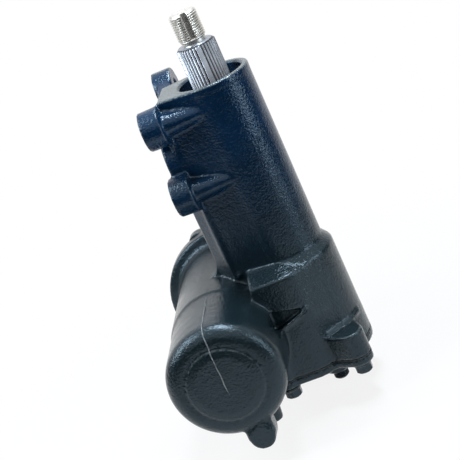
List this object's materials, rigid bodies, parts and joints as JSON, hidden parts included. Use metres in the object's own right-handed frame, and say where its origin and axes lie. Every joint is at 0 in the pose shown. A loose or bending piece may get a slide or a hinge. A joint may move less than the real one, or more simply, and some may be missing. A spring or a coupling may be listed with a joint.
{
  "type": "steering gearbox",
  "caption": "Recirculating-ball power steering gearbox: cast housing with a bolted frame pad, splined output shaft, rack piston and sector, ball worm and rotary valve.",
  "frame": {"origin": "centre of the four frame bolts, on the mounting face of the housing", "axes": "+Z along the sector shaft towards its splined end, -X out of the mounting face, +Y along the worm towards the input shaft"},
  "size_m": [0.176, 0.3325, 0.3578],
  "materials": {
    "housing_paint": "glossy blue-black paint over cast iron",
    "bolt_paint": "painted over with the housing",
    "shaft_steel": "turned and hobbed bright steel",
    "bearing_steel": "ground bearing steel",
    "plated_steel": "zinc-plated fastener steel",
    "piston_iron": "machined and hardened iron",
    "seal_rubber": "black moulded rubber",
    "seal_ptfe": "off-white sealing plastic",
    "gasket_fibre": "dark fibre gasket"
  },
  "bodies": {
    "housing": {"gear_housing": "housing_paint", "side_cover": "housing_paint", "side_cover_gasket": "gasket_fibre", "side_cover_bolts": "bolt_paint", "adjuster_screw": "bolt_paint", "adjuster_locknut": "bolt_paint", "cover_bearing": "bearing_steel", "neck_bearing_lower": "bearing_steel", "neck_bearing_upper": "bearing_steel", "sector_oil_seal": "seal_rubber", "sector_snap_ring": "plated_steel", "sector_dust_seal": "seal_rubber", "valve_housing": "housing_paint", "valve_housing_seal": "seal_rubber", "valve_housing_bolts": "bolt_paint", "worm_bearing_race": "bearing_steel", "worm_bearing_retainer": "plated_steel", "input_bearing": "bearing_steel", "input_oil_seal": "seal_rubber", "input_snap_ring": "plated_steel", "input_dust_cover": "seal_rubber"},
    "sector": {"sector_shaft": "shaft_steel", "adjuster_retainer": "plated_steel", "adjuster_shim": "plated_steel"},
    "piston": {"rack_piston": "piston_iron", "piston_seal_ring": "seal_ptfe", "piston_end_plug": "plated_steel", "recirculating_balls": "bearing_steel", "ball_return_guide": "plated_steel", "return_guide_clamp": "plated_steel", "guide_clamp_screws": "plated_steel"},
    "worm": {"worm_shaft": "shaft_steel", "worm_bearing_cone": "bearing_steel", "worm_bearing_balls": "bearing_steel", "valve_sleeve": "shaft_steel", "valve_sleeve_rings": "seal_ptfe", "sleeve_drive_pin": "plated_steel", "torsion_bar": "shaft_steel", "torsion_bar_worm_pin": "plated_steel"},
    "input": {"input_shaft": "shaft_steel", "torsion_bar_input_pin": "plated_steel"}
  },
  "joints": [
    {"name": "sector_turn", "type": "hinge", "parent": "housing", "child": "sector", "pos_m": [0.0645, -0.035, 0], "axis": [0, 0, 1], "range_deg": [-40, 40]},
    {"name": "piston_slide", "type": "slide", "parent": "housing", "child": "piston", "axis": [0, 1, 0], "range_m": [-0.0275, 0.0275]},
    {"name": "worm_turn", "type": "hinge", "parent": "housing", "child": "worm", "pos_m": [-0.0075, 0, -0.167], "axis": [0, 1, 0], "range_deg": [-756, 756]},
    {"name": "valve_twist", "type": "hinge", "parent": "worm", "child": "input", "pos_m": [-0.0075, 0, -0.167], "axis": [0, 1, 0], "range_deg": [-5, 5], "stiffness_Nm_per_rad": 90}
  ],
  "couplings": [
    {"joint": "piston_slide", "follows": "sector_turn", "m_per_rad": -0.039},
    {"joint": "worm_turn", "follows": "sector_turn", "ratio": 18.85}
  ]
}
